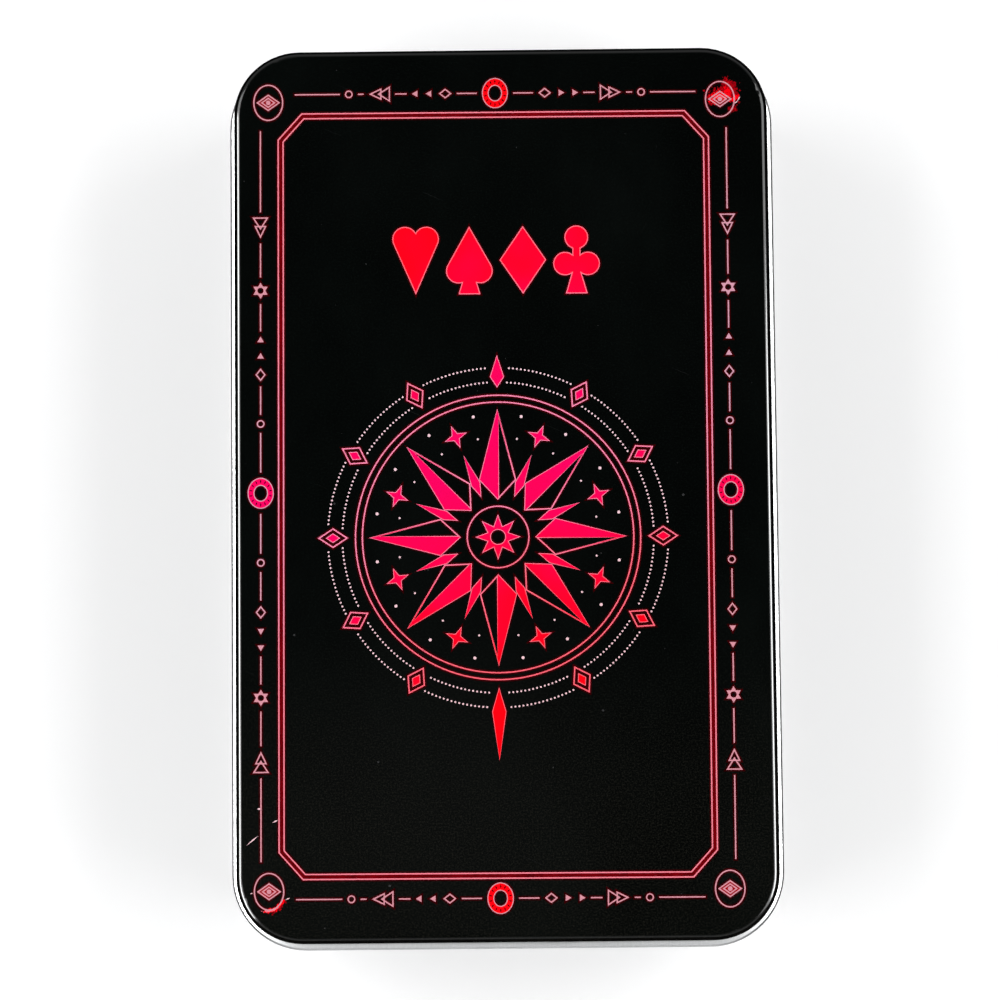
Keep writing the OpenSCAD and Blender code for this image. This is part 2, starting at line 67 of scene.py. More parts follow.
# The finish changes at these heights.
GLOSS_DOWN_TO = LID_TOP - 0.18 * SHOULDER_R
WORN_DOWN_TO = LID_TOP - 1.2 * SHOULDER_R
ROLL_UP_TO = CURL_Z + 1.1 * CURL_R
# Below this height the roll's tinplate is darkened as painted shade.
SHADED_UP_TO = CURL_Z + 0.8 * CURL_R

# ---------- the print ----------
FOIL_T = 0.04 * MM
LINE_W = 0.19 * MM
FRAME_GAP = 0.72 * MM
CUT_X = 3.5 * MM
CUT_Y = 3.9 * MM
CIRCLE_GAP = 1.0 * MM
FINIAL_TOP = 4.8 * MM
FINIAL_BOTTOM = 10.5 * MM
LOZENGES = 12
RAYS = 8
FRAME_MARGIN = (7.5 * MM, 9.2 * MM)
CORNER_MARGIN = (6.0 * MM, 7.6 * MM)
CORNER_SHIFT = 0.15 * MM
PRINT_TURN = math.radians(-0.15)

FRAME_HALF_W = SKIRT_HALF_W - FRAME_MARGIN[0]
FRAME_HALF_L = SKIRT_HALF_L - FRAME_MARGIN[1]
CORNER_MEDAL = (SKIRT_HALF_W - CORNER_MARGIN[0], SKIRT_HALF_L - CORNER_MARGIN[1])

frame_low, frame_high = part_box("foil_frame")
PRINT_X = (frame_low.x + frame_high.x) / 2
PRINT_Y = (frame_low.y + frame_high.y) / 2
emblem_low, emblem_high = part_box("foil_emblem")
EMBLEM_R = (emblem_high.y - emblem_low.y - FINIAL_TOP - FINIAL_BOTTOM) / 2 - CIRCLE_GAP
EMBLEM_X = (emblem_low.x + emblem_high.x) / 2
EMBLEM_Y = emblem_high.y - FINIAL_TOP - CIRCLE_GAP - EMBLEM_R

# ---------- what scene.py adds to the print, with painted highlights and glow ---
HALO_W = 0.22 * MM
SUIT_EDGE_W = 0.15 * MM
EMBLEM_EDGE_W = 0.1 * MM
MEDALLION_EDGE_W = 0.13 * MM

HALO_Z = LID_TOP + 0.01 * MM
TINT_Z = LID_TOP + 0.02 * MM
FOIL_TOP = LID_TOP + FOIL_T
EDGE_Z = FOIL_TOP + 0.001 * MM

RING_DOT = 0.28 * MM
RING_PITCH = 0.58 * MM
LARGE_DOT = 0.45 * MM
SMALL_DOT = 0.3 * MM


def on_print(x, y):
    """A place on the lid, from its place in the print."""
    cos, sin = math.cos(PRINT_TURN), math.sin(PRINT_TURN)
    return PRINT_X + x * cos - y * sin, PRINT_Y + x * sin + y * cos


def outward(x, y, half_w, half_l, corner):
    """Distance outwards from a rectangle with round corners; negative inside it."""
    qx = abs(x) - (half_w - corner)
    qy = abs(y) - (half_l - corner)
    return math.hypot(max(qx, 0), max(qy, 0)) + min(max(qx, qy), 0) - corner


# ---------- node trees ----------


class Nodes:
    """A node tree, with short calls for the nodes that finishes are built from."""

    def __init__(self, tree, coordinates):
        self.tree = tree
        self.coordinates = tree.nodes.new("ShaderNodeTexCoord").outputs[coordinates]

    def join(self, value, socket):
        """Links an output, or sets a plain value."""
        if isinstance(value, bpy.types.NodeSocket):
            self.tree.links.new(value, socket)
        else:
            socket.default_value = value

    def mapped(self, vector, scale=(1, 1, 1), turn=0.0):
        node = self.tree.nodes.new("ShaderNodeMapping")
        node.inputs["Scale"].default_value = scale
        node.inputs["Rotation"].default_value = (0, 0, math.radians(turn))
        self.join(vector, node.inputs["Vector"])
        return node.outputs["Vector"]

    def per_mm(self, x, y, z):
        """Coordinates that count this many units per millimetre."""
        return self.mapped(self.coordinates, (x / MM, y / MM, z / MM))

    def noise(self, vector, detail=2.0, rough=0.5):
        node = self.tree.nodes.new("ShaderNodeTexNoise")
        node.inputs["Scale"].default_value = 1.0
        node.inputs["Detail"].default_value = detail
        node.inputs["Roughness"].default_value = rough
        self.join(vector, node.inputs["Vector"])
        return node.outputs["Fac"]

    def cells(self, vector):
        """Distance to the nearest random point, and that point's random colour."""
        node = self.tree.nodes.new("ShaderNodeTexVoronoi")
        node.inputs["Scale"].default_value = 1.0
        self.join(vector, node.inputs["Vector"])
        return node.outputs["Distance"], node.outputs["Color"]

    def parts(self, vector):
        node = self.tree.nodes.new("ShaderNodeSeparateXYZ")
        self.join(vector, node.inputs["Vector"])
        return node.outputs["X"], node.outputs["Y"], node.outputs["Z"]

    def math(self, kind, a, b=0.0):
        node = self.tree.nodes.new("ShaderNodeMath")
        node.operation = kind
        self.join(a, node.inputs[0])
        self.join(b, node.inputs[1])
        return node.outputs["Value"]

    def remap(self, value, low, high, to_low=0.0, to_high=1.0, smooth=False):
        node = self.tree.nodes.new("ShaderNodeMapRange")
        node.interpolation_type = "SMOOTHSTEP" if smooth else "LINEAR"
        self.join(value, node.inputs["Value"])
        limits = {"From Min": low, "From Max": high, "To Min": to_low, "To Max": to_high}
        for name, number in limits.items():
            node.inputs[name].default_value = number
        return node.outputs["Result"]

    def mix(self, share, a, b):
        """Mixes two colours."""
        node = self.tree.nodes.new("ShaderNodeMix")
        node.data_type = "RGBA"
        self.join(share, node.inputs["Factor"])
        for value, socket in zip((a, b), (s for s in node.inputs if s.type == "RGBA")):
            self.join(value if isinstance(value, bpy.types.NodeSocket) else (*value, 1), socket)
        return next(s for s in node.outputs if s.type == "RGBA")

    def light_path(self, kind):
        return self.tree.nodes.new("ShaderNodeLightPath").outputs[kind]

    def bump(self, height, strength, distance):
        node = self.tree.nodes.new("ShaderNodeBump")
        node.inputs["Strength"].default_value = strength
        node.inputs["Distance"].default_value = distance
        self.join(height, node.inputs["Height"])
        return node.outputs["Normal"]


class Finish(Nodes):
    """A material round one Principled shader; fixed values go on the shader's own sockets."""

    def __init__(self, name, **fixed):
        self.material = bpy.data.materials.new(name)
        self.material.use_nodes = True
        super().__init__(self.material.node_tree, "Object")
        self.shader = self.tree.nodes["Principled BSDF"]
        for socket, value in fixed.items():
            self.shader.inputs[socket.replace("_", " ")].default_value = value

    def drive(self, **inputs):
        for socket, value in inputs.items():
            self.join(value, self.shader.inputs[socket.replace("_", " ")])

    def specks(self, per_mm, size, share):
        """Sparse round specks: 1 on a speck, 0 elsewhere. share is how many cells have one."""
        distance, colour = self.cells(self.per_mm(per_mm, per_mm, per_mm))
        picked, spread, _ = self.parts(colour)
        radius = self.remap(spread, 0, 1, 0.3 * size * per_mm, size * per_mm)
        there = self.math("LESS_THAN", distance, radius)
        return self.math("MULTIPLY", there, self.math("LESS_THAN", picked, share))

    def hairlines(self, turn, along, across, cut):
        """Short fine scratches along one direction."""
        turned = self.mapped(self.per_mm(1, 1, 1), turn=turn)
        field = self.noise(self.mapped(turned, (along, across, across)), detail=1.0)
        return self.remap(field, cut, cut + 0.05)


def scaled(colour, factor):
    return tuple(factor * c for c in colour)


# ---------- materials ----------


def black_lacquer(name, tone, rough, dust, specular=0.5):
    """Black printing varnish with faint smears, dust and scratches, and a painted reflection that
    makes it paler and mottled towards the front.
    """
    finish = Finish(name, IOR=1.55, Specular_IOR_Level=specular)
    smear = finish.noise(finish.per_mm(0.05, 0.03, 0.05), detail=4.0, rough=0.6)
    peel = finish.noise(finish.per_mm(0.9, 0.9, 0.9), detail=3.0)
    large = finish.specks(0.16, 0.2, dust)
    small = finish.specks(0.45, 0.1, dust)
    scratches = finish.math(
        "MAXIMUM",
        finish.hairlines(24, 0.10, 5.5, 0.78),
        finish.hairlines(-61, 0.13, 6.5, 0.80),
    )
    marks = finish.math("MAXIMUM", large, small)
    marks = finish.math("MAXIMUM", marks, finish.math("MULTIPLY", scratches, 0.3))
    grain = finish.noise(finish.per_mm(4, 4, 4), detail=3.0, rough=0.8)
    ground = finish.mix(finish.remap(smear, 0.35, 0.7), scaled(tone, 0.6), scaled(tone, 1.4))
    ground = finish.mix(finish.remap(grain, 0.5, 0.75), ground, scaled(tone, 3.5))
    y = finish.parts(finish.coordinates)[1]
    # Painted reflection: towards the front the black is mixed, in a mottle, with a paler grey-brown.
    front = finish.remap(y, -50 * MM, -15 * MM, 1.0, 0.0, smooth=True)
    front_sheen = finish.math("MULTIPLY", finish.remap(grain, 0.48, 0.72), front)
    ground = finish.mix(front_sheen, ground, (0.012, 0.0112, 0.0085))
    height = finish.math("ADD", peel, marks)
    finish.drive(
        Base_Color=finish.mix(finish.math("MULTIPLY", marks, 0.6), ground, (0.05, 0.05, 0.052)),
        Roughness=finish.remap(smear, 0.3, 0.7, rough, rough + 0.08),
        Normal=finish.bump(height, 0.03, 0.03 * MM),
    )
    return finish


def bright_tinplate(name, tone, rough, grain, shaded_up_to=None):
    """Rolled tin-plated steel: grain along the sheet, soft stains and scratches.

    Up to a given height it has painted shade: darker and a little less rough, most along the tin's
    long sides.
    """
    finish = Finish(name, Metallic=1.0)
    lines = finish.noise(finish.per_mm(*grain), detail=3.0, rough=0.6)
    cloud = finish.noise(finish.per_mm(0.06, 0.05, 0.06), detail=4.0, rough=0.55)
    scratches = finish.math(
        "MAXIMUM",
        finish.hairlines(12, 0.06, 4.0, 0.74),
        finish.hairlines(75, 0.08, 5.0, 0.77),
    )
    blend = finish.math("MULTIPLY", finish.math("ADD", lines, cloud), 0.5)
    ground = finish.mix(finish.remap(blend, 0.35, 0.65), scaled(tone, 0.84), tone)
    ground = finish.mix(finish.math("MULTIPLY", scratches, 0.35), ground, scaled(tone, 0.6))
    dull = finish.remap(blend, 0.3, 0.7, rough + 0.1, rough)
    if shaded_up_to is not None:
        # Painted shade: below the given height the tone drops to a tenth, most on the long sides.
        x, _, height = finish.parts(finish.coordinates)
        side = finish.math("ABSOLUTE", x)
        side = finish.remap(side, 0.75 * SKIRT_HALF_W, 0.95 * SKIRT_HALF_W, 0.3, 1.0)
        painted_shade = finish.remap(height, shaded_up_to - 0.08 * MM, shaded_up_to, 1.0, 0.0)
        painted_shade = finish.math("MULTIPLY", painted_shade, side)
        ground = finish.mix(painted_shade, ground, scaled(tone, 0.09))
        dull = finish.math("SUBTRACT", dull, finish.math("MULTIPLY", painted_shade, 0.15))
    finish.drive(Base_Color=ground, Roughness=dull, Normal=finish.bump(lines, 0.05, 0.02 * MM))
    return finish


def stamped_foil(name, cool, warm, metal, rough):
    """Foil that shifts from red to pink along a broad slanting band, with a fine sparkle."""
    finish = Finish(name, Metallic=metal, Specular_IOR_Level=0.0)
    x, y, _ = finish.parts(finish.per_mm(1, 1, 1))
    waver = finish.noise(finish.per_mm(0.07, 0.07, 0.07))
    across = finish.math("SUBTRACT", y, finish.math("MULTIPLY", x, 0.3))
    across = finish.math("ADD", across, finish.remap(waver, 0.3, 0.7, -15, -1))
    away = finish.math("POWER", finish.math("ABSOLUTE", finish.math("DIVIDE", across, 20)), 2)
    share = finish.math("EXPONENT", finish.math("MULTIPLY", away, -1))
    sparkle = finish.noise(finish.per_mm(9, 9, 9), rough=0.7)
    speckled = finish.remap(sparkle, 0.4, 0.8, 0.0, 0.3)
    finish.drive(
        Base_Color=finish.mix(speckled, finish.mix(share, warm, cool), scaled(warm, 0.7)),
        Roughness=finish.remap(sparkle, 0.3, 0.7, rough, rough + 0.15),
        Normal=finish.bump(sparkle, 0.08, 0.02 * MM),
    )
    return finish


def red_tint(name, tone):
    """A thin red tint with a mottled density: red lacquer, and the painted glow round the foil."""
    finish = Finish(name, Roughness=0.5, Specular_IOR_Level=0.0)
    mottle = finish.noise(finish.per_mm(0.5, 0.15, 1), detail=3.0)
    fine = finish.noise(finish.per_mm(5, 5, 5))
    share = finish.remap(finish.math("ADD", mottle, fine), 0.7, 1.3)
    finish.drive(Base_Color=finish.mix(share, scaled(tone, 0.5), scaled(tone, 1.5)))
    return finish


LID_BLACK = black_lacquer("black_gloss_lacquer", (0.0009, 0.0014, 0.0012), 0.065, 0.35)
WORN_BLACK = black_lacquer("black_worn_lacquer", (0.0012, 0.0013, 0.0013), 0.5, 0.1, 0.0)
BASE_BLACK = black_lacquer("black_satin_lacquer", (0.0026, 0.0027, 0.0028), 0.26, 0.1)
SHEET_GRAIN = (2.5, 0.12, 2.5)
TINPLATE = bright_tinplate("bright_tinplate", (0.80, 0.81, 0.82), 0.3, SHEET_GRAIN)
ROLL_TINPLATE = bright_tinplate(
    "bright_tinplate_roll", (0.82, 0.83, 0.84), 0.39, SHEET_GRAIN, SHADED_UP_TO
)
STRAP_STEEL = bright_tinplate("pressed_steel", (0.62, 0.62, 0.63), 0.28, (3, 3, 0.3))
WELDED_STEEL = bright_tinplate("welded_steel", (0.42, 0.40, 0.38), 0.36, (3, 3, 3))
WIRE_STEEL = bright_tinplate("drawn_wire", (0.66, 0.67, 0.68), 0.16, (0.1, 8, 8))
FOIL = stamped_foil("red_foil_fill", (0.82, 0.0012, 0.11), (0.90, 0.001, 0.005), 0.3, 0.45)
FRAME_LINE = stamped_foil("red_foil_frame", (0.80, 0.24, 0.36), (0.82, 0.20, 0.26), 0.1, 0.5)
PALE_LINE = stamped_foil("red_foil_line", (0.58, 0.29, 0.38), (0.60, 0.25, 0.30), 0.1, 0.5)
# Painted highlight: paler foil for the edges that catch the light.
EDGE_HIGHLIGHT = stamped_foil("red_foil_edge_highlight", (0.90, 0.24, 0.40), (0.93, 0.12, 0.16), 0.1, 0.5)
FOIL_DOT = stamped_foil("red_foil_dot", (0.80, 0.56, 0.62), (0.80, 0.52, 0.56), 0.1, 0.5)
FOIL_DUST = stamped_foil("red_foil_dust", (0.40, 0.001, 0.01), (0.42, 0.001, 0.004), 0.3, 0.5)
FRAME_TINT = red_tint("frame_red_tint", (0.125, 0.0003, 0.002))
VEIL_TINT = red_tint("veil_red_tint", (0.24, 0.0004, 0.004))
# Painted glow: the faint red spread round the bright foil.
GLOW_TINT = red_tint("painted_red_glow", (0.03, 0.0004, 0.001))


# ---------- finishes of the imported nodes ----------


def printed_on_lid(point, normal):
    """Whether a face of the lid is on the printed side of the sheet."""
    out = outward(point.x, point.y, SKIRT_HALF_W, SKIRT_HALF_L, CORNER_R)
    shoulder_z = LID_TOP - SHOULDER_R
    if point.z > shoulder_z:
        if out < -SHOULDER_R:
            return point.z > LID_TOP - SHEET / 2
        return math.hypot(out + SHOULDER_R, point.z - shoulder_z) > SHOULDER_R - SHEET / 2
    if point.z > CURL_Z + 0.75 * CURL_R:
        return abs(normal.z) < 0.3 and abs(out) < 0.3 * SHEET
    return math.hypot(out - (CURL_R - SHEET), point.z - CURL_Z) < CURL_R - 0.6 * SHEET


def lid_finish(point, normal):
    """Bare tinplate, or lacquer: glossy on top, rubbed dull along the bend, satin below it."""
    if not printed_on_lid(point, normal):
        return ROLL_TINPLATE if point.z < ROLL_UP_TO else TINPLATE
    if point.z > GLOSS_DOWN_TO:
        return LID_BLACK
    return WORN_BLACK if point.z > WORN_DOWN_TO else BASE_BLACK


def base_finish(point, normal):
    """Lacquer on the outside of the wall band, below its bare rim."""
    out = outward(point.x, point.y, BASE_HALF_W, BASE_HALF_L, BASE_R)
    printed = abs(out) < 0.3 * SHEET and point.z < RIM_Z and abs(normal.z) < 0.3
    return BASE_BLACK if printed else TINPLATE


def emblem_finish(point, _):
    """The emblem's two outer circles are pale lines, and the rest is filled."""
    reach = math.hypot(point.x - EMBLEM_X, point.y - EMBLEM_Y)
    return PALE_LINE if abs(reach - EMBLEM_R + CIRCLE_GAP / 2) < CIRCLE_GAP else FOIL


def finish_node(node, finish):
    """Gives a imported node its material, or each of its faces the one that a rule picks."""
    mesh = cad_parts[node].data
    mesh.materials.clear()
    if isinstance(finish, Finish):
        mesh.materials.append(finish.material)
        return
    slots = []
    for face in mesh.polygons:
        picked = finish(face.center, face.normal).material
        if picked not in slots:
            slots.append(picked)
            mesh.materials.append(picked)
        face.material_index = slots.index(picked)


finish_node("lid_shell", lid_finish)
finish_node("base_wall", base_finish)
finish_node("bottom_plate", TINPLATE)
finish_node("hinge_strap_left", STRAP_STEEL)
finish_node("hinge_strap_right", STRAP_STEEL)
finish_node("hinge_wire", WIRE_STEEL)
finish_node("foil_suits", FOIL)
finish_node("foil_side_medallions", FOIL)
finish_node("foil_emblem", emblem_finish)
finish_node("foil_frame", FRAME_LINE)
finish_node("foil_border", PALE_LINE)
finish_node("foil_corner_medallions", PALE_LINE)


# ---------- mesh helpers ----------


def prism(mesh, points, low, high):
    """Adds a flat-topped solid over an outline that is given anticlockwise."""
    bottom = [mesh.verts.new((x, y, low)) for x, y in points]
    top = [mesh.verts.new((x, y, high)) for x, y in points]
    mesh.faces.new(top)
    mesh.faces.new(bottom[::-1])
    for i, _ in enumerate(points):
        j = (i + 1) % len(points)
        mesh.faces.new((bottom[i], bottom[j], top[j], top[i]))


def round_points(x, y, r, sides=10):
    angles = [2 * math.pi * i / sides for i in range(sides)]
    return [(x + r * math.cos(a), y + r * math.sin(a)) for a in angles]


def piece(name, mesh, finish, body):
    """Makes an object of a bmesh, and lets it ride on a body."""
    data = bpy.data.meshes.new(name)
    mesh.to_mesh(data)
    mesh.free()
    data.materials.append(finish.material)
    made = bpy.data.objects.new(name, data)
    scene.collection.objects.link(made)
    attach(made, body)
    return made


def foil_piece(name, mesh, finish):
    return piece(name, mesh, finish, "lid")


# ---------- painted highlights along the foil's edges, and painted glow round it ---


def outlines(node):
    """The closed outlines of a foil node's top face, each a list of corners."""
    mesh = bmesh.new()
    mesh.from_mesh(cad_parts[node].data)
    bmesh.ops.remove_doubles(mesh, verts=mesh.verts, dist=0.002 * MM)
    mesh.verts.index_update()
    after = {}
    for face in mesh.faces:
        if face.normal.z < 0.5:
            continue
        for loop in face.loops:
            if sum(f.normal.z > 0.5 for f in loop.edge.link_faces) == 1:
                after[loop.vert.index] = loop.link_loop_next.vert.index
    places = {vert.index: vert.co.to_2d() for vert in mesh.verts}
    mesh.free()
    rings = []
    while after:
        start = here = next(iter(after))
        ring = []
        while here in after:
            ring.append(places[here])
            here = after.pop(here)
        if here == start:
            rings.append(ring)
    return rings


def moved_inwards(before, corner, beyond, distance):
    """An outline's corner, moved in by the same distance from both of its edges."""
    first = (corner - before).normalized().orthogonal()
    second = (beyond - corner).normalized().orthogonal()
    return corner + (first + second) * distance / max(1 + first.dot(second), 0.25)


def rim(name, node, width, finish, z, corners_from=3):
    """Draws a line along the inside of a foil node's edges, as a painted highlight, or outside for a
    width below 0, as a painted glow.

    Outlines with fewer corners than asked are left bare.
    """
    mesh = bmesh.new()
    for ring in outlines(node):
        if len(ring) < corners_from:
            continue
        inner = [
            moved_inwards(ring[i - 1], corner, ring[(i + 1) % len(ring)], width)
            for i, corner in enumerate(ring)
        ]
        for i, _ in enumerate(ring):
            corners = (ring[i - 1], ring[i], inner[i], inner[i - 1])
            mesh.faces.new([mesh.verts.new((c.x, c.y, z)) for c in corners])
    return foil_piece(name, mesh, finish)


# Painted highlights: paler lines inside the edges of the suits, the emblem and the side medallions'
# ovals.
rim("suit_edge_highlights", "foil_suits", SUIT_EDGE_W, EDGE_HIGHLIGHT, EDGE_Z)
rim("emblem_edge_highlights", "foil_emblem", EMBLEM_EDGE_W, EDGE_HIGHLIGHT, EDGE_Z)
rim(
    "side_medallion_edge_highlights",
    "foil_side_medallions",
    MEDALLION_EDGE_W,
    PALE_LINE,
    EDGE_Z,
    corners_from=8,
)
# Painted glow: a faint red tint just outside each foil outline.
for haloed in ("border", "corner_medallions", "side_medallions", "suits", "emblem"):
    rim(haloed + "_glow", "foil_" + haloed, -HALO_W, GLOW_TINT, HALO_Z)


# ---------- red tint between the frame's lines, and painted glow round them ---


def cut_rect(inward):
    """Corners of the frame's outline, every side moved inwards by the same distance."""
    slope = math.hypot(CUT_X, CUT_Y)
    half_w = FRAME_HALF_W - inward
    half_l = FRAME_HALF_L - inward
    off_x = CUT_X - inward + inward * (slope - CUT_X) / CUT_Y
    off_y = CUT_Y - inward + inward * (slope - CUT_Y) / CUT_X
    quarter = [(half_w, half_l - off_y), (half_w - off_x, half_l)]
    sides = [(1, 1), (-1, 1), (-1, -1), (1, -1)]
    return [
        on_print(sx * x, sy * y)
        for sx, sy in sides
        for x, y in (quarter if sx * sy > 0 else quarter[::-1])
    ]


def frame_band(name, start, end, finish):
    """A thin band along the frame, from one distance inside its outline to another."""
    mesh = bmesh.new()
    rings = [
        [mesh.verts.new((x, y, HALO_Z)) for x, y in cut_rect(inward)] for inward in (start, end)
    ]
    for i, _ in enumerate(rings[0]):
        j = (i + 1) % len(rings[0])
        mesh.faces.new((rings[0][i], rings[0][j], rings[1][j], rings[1][i]))
    return foil_piece(name, mesh, finish)


frame_band("frame_tint", LINE_W, FRAME_GAP, FRAME_TINT)
# Painted glow along both sides of the frame.
frame_band("frame_glow_outer", -HALO_W, 0, GLOW_TINT)
frame_band("frame_glow_inner", FRAME_GAP + LINE_W, FRAME_GAP + LINE_W + HALO_W, GLOW_TINT)


def medallion_tint():
    """Red tint between the lozenges of the corner medallions."""
    lozenges = [ring for ring in outlines("foil_corner_medallions") if len(ring) == 4]
    widths = [max(c.x for c in ring) - min(c.x for c in ring) for ring in lozenges]
    mesh = bmesh.new()
    for ring, width in zip(lozenges, widths):
        if width > 0.95 * max(widths):
            mesh.faces.new([mesh.verts.new((c.x, c.y, TINT_Z)) for c in ring])
    return foil_piece("medallion_tint", mesh, VEIL_TINT)


medallion_tint()


# ---------- dots round and in the emblem ----------


def emblem_dots():
    """Two rings of fine dots outside the circle, broken at the lozenges, and dots inside it."""
    mesh = bmesh.new()

    def dot(radius, angle, size):
        x = EMBLEM_X + radius * math.cos(angle + PRINT_TURN)
        y = EMBLEM_Y + radius * math.sin(angle + PRINT_TURN)
        prism(mesh, round_points(x, y, size / 2), LID_TOP, FOIL_TOP)

    for radius, clear in ((EMBLEM_R + 1.8 * MM, 1.2 * MM), (EMBLEM_R + 3.9 * MM, 1.5 * MM)):
        count = round(2 * math.pi * radius / RING_PITCH)
        part = 2 * math.pi / LOZENGES
        for i in range(count):
            angle = 2 * math.pi * (i + 0.5) / count
            if abs(angle - part * round(angle / part)) * radius > clear:
                dot(radius, angle, RING_DOT)
    for i in range(2 * RAYS):
        angle = 2 * math.pi * (i + 0.5) / (2 * RAYS)
        dot(0.86 * EMBLEM_R, angle, LARGE_DOT)
        dot(0.70 * EMBLEM_R, angle, SMALL_DOT)
    return foil_piece("emblem_dots", mesh, FOIL_DOT)


emblem_dots()


# ---------- camera ----------
CAMERA_AT = Vector((2.6, -43.8, 514.0)) * MM
CAMERA_TURN = Euler([math.radians(a) for a in (5.044, 0.430, -0.562)], "XYZ")
CAMERA_LENS = 119.98
SENSOR = 36.0

camera = bpy.data.objects.new("camera", bpy.data.cameras.new("camera"))
camera.location = CAMERA_AT
camera.rotation_euler = CAMERA_TURN
camera.data.sensor_width = SENSOR
camera.data.lens = CAMERA_LENS
camera.data.clip_start = 0.01
scene.collection.objects.link(camera)
scene.camera = camera


def on_lid(pixel_x, pixel_y):
    """The place on the lid that the photograph shows at a pixel."""
    reach = SENSOR / 2 / CAMERA_LENS
    across = (pixel_x - 500) / 500 * reach
    up = (500 - pixel_y) / 500 * reach
    ray = CAMERA_TURN.to_matrix() @ Vector((across, up, -1))
    hit = CAMERA_AT + ray * (LID_TOP - CAMERA_AT.z) / ray.z
    return hit.x, hit.y


# ---------- wear of the print ----------


def flakes(name, finish, seed, largest, heights, middle, patches):
    """Scraps of foil, strewn over oval patches round a middle.

    Their heights are shares of the foil's own. A patch is its place, half width and half
    height in mm, turn in degrees, and count.
    """
    rng = random.Random(seed)
    mesh = bmesh.new()
    for x, y, half_w, half_h, turn, count in patches:
        cos, sin = math.cos(math.radians(turn)), math.sin(math.radians(turn))
        for _ in range(count):
            u = rng.gauss(0, 0.45) * half_w
            v = rng.gauss(0, 0.45) * half_h
            at_x = middle[0] + (x + u * cos - v * sin) * MM
            at_y = middle[1] + (y + u * sin + v * cos) * MM
            size = rng.uniform(0.3, 1) * largest
            sides = rng.randint(4, 6)
            ragged = []
            for i in range(sides):
                reach = size * rng.uniform(0.5, 1)
                angle = 2 * math.pi * i / sides
                ragged.append((at_x + reach * math.cos(angle), at_y + reach * math.sin(angle)))
            prism(mesh, ragged, LID_TOP, LID_TOP + rng.uniform(*heights) * FOIL_T)
    return foil_piece(name, mesh, finish)


def scuffs(name, finish, marks):
    """Short pointed scratches that show light: from one pixel to another, and their width."""
    mesh = bmesh.new()
    for start, end, width in marks:
        start, end = Vector(on_lid(*start)), Vector(on_lid(*end))
        side = (end - start).normalized().orthogonal() * width * MM / 2
        middle = start.lerp(end, 0.6)
        corners = [start, middle - side, end, middle + side]
        prism(mesh, [(c.x, c.y) for c in corners], LID_TOP, LID_TOP + 0.5 * FOIL_T)
    return foil_piece(name, mesh, finish)


UPPER_MEDAL = on_print(CORNER_SHIFT + CORNER_MEDAL[0], CORNER_MEDAL[1])
LOWER_MEDAL = on_print(CORNER_SHIFT - CORNER_MEDAL[0], -CORNER_MEDAL[1])
flakes(
    "smear_upper_veil",
    VEIL_TINT,
    2,
    0.36 * MM,
    (0.3, 0.5),
    UPPER_MEDAL,
    (
        (0.1, 0.5, 2.0, 1.1, 5, 170),
        (1.5, 1.6, 1.7, 0.9, -60, 130),
        (2.1, 0.2, 0.8, 0.6, 40, 50),
        (1.8, -1.5, 0.6, 0.6, 0, 16),
    ),
)
flakes(
    "smear_upper_dark",
    FOIL_DUST,
    5,
    0.12 * MM,
    (0.55, 0.65),
    UPPER_MEDAL,
    (
        (1.5, 1.7, 1.6, 0.75, -60, 260),
        (0.3, 1.2, 1.6, 0.7, 10, 200),
        (1.8, -1.6, 0.5, 0.5, 0, 24),
    ),
)
flakes(
    "smear_upper_bright",
    FOIL,
    3,
    0.2 * MM,
    (0.7, 0.95),
    UPPER_MEDAL,
    (
        (0.0, 0.45, 1.6, 0.6, 5, 330),
        (1.1, 1.0, 0.8, 0.6, -50, 60),
        (2.2, 0.1, 0.7, 0.35, 40, 90),
        (-1.2, -0.3, 0.5, 0.6, 50, 30),
    ),
)
flakes(
    "smear_lower_veil",
    VEIL_TINT,
    6,
    0.3 * MM,
    (0.3, 0.5),
    LOWER_MEDAL,
    ((0.3, -2.7, 1.3, 0.4, 6, 40), (1.5, -2.0, 1.0, 0.35, 40, 30)),
)
flakes(
    "smear_lower",
    FOIL,
    8,
    0.14 * MM,
    (0.6, 0.75),
    LOWER_MEDAL,
    (
        (0.2, -2.7, 1.1, 0.24, 6, 130),
        (1.3, -2.15, 0.8, 0.22, 40, 90),
        (2.05, -1.4, 0.4, 0.16, 62, 30),
    ),
)
flakes(
    "smear_lower_pale",
    FRAME_LINE,
    9,
    0.12 * MM,
    (0.8, 0.95),
    LOWER_MEDAL,
    ((-0.1, -2.72, 0.7, 0.16, 6, 90), (0.9, -2.42, 0.6, 0.12, 36, 40)),
)
scuffs(
    "scuffs",
    FOIL_DOT,
    (
        ((246, 846), (258, 836), 0.2),
        ((272, 823), (278, 820), 0.2),
        ((257, 809), (261, 809), 0.3),
        ((285, 900), (290, 898), 0.2),
        ((250, 894), (253, 893), 0.15),
        ((733, 104), (738, 101), 0.16),
        ((737, 102), (740, 96), 0.16),
    ),
)

# ---------- seams at the back ----------


def weld_spots(name, node):
    """Two shallow spot welds, one beside the other, on a strap's face."""
    low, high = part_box(node)
    face_y = BASE_HALF_L + STRAP_T
    z = low.z + WELD_HEIGHT
    # Radius and height of each ring of a spot, in mm.
    rings = ((1.15, 0.0), (1.0, 0.05), (0.8, 0.03), (0.3, 0.015), (0.0, 0.01))
    sides = 32
    mesh = bmesh.new()
    for offset in (-WELD_APART / 2, WELD_APART / 2):
        x = (low.x + high.x) / 2 + offset
        circles = []
        for radius, height in rings:
            spots = round_points(x, z, radius * MM, sides) if radius else [(x, z)]
            circles.append([mesh.verts.new((sx, face_y + height * MM, sz)) for sx, sz in spots])
        for outer, inner in zip(circles, circles[1:]):
            for i in range(sides):
                j = (i + 1) % sides
                corners = [outer[j], outer[i], inner[i % len(inner)], inner[j % len(inner)]]
                mesh.faces.new(list(dict.fromkeys(corners)))
    for face in mesh.faces:
        face.smooth = True
    return piece(name, mesh, WELDED_STEEL, "base")


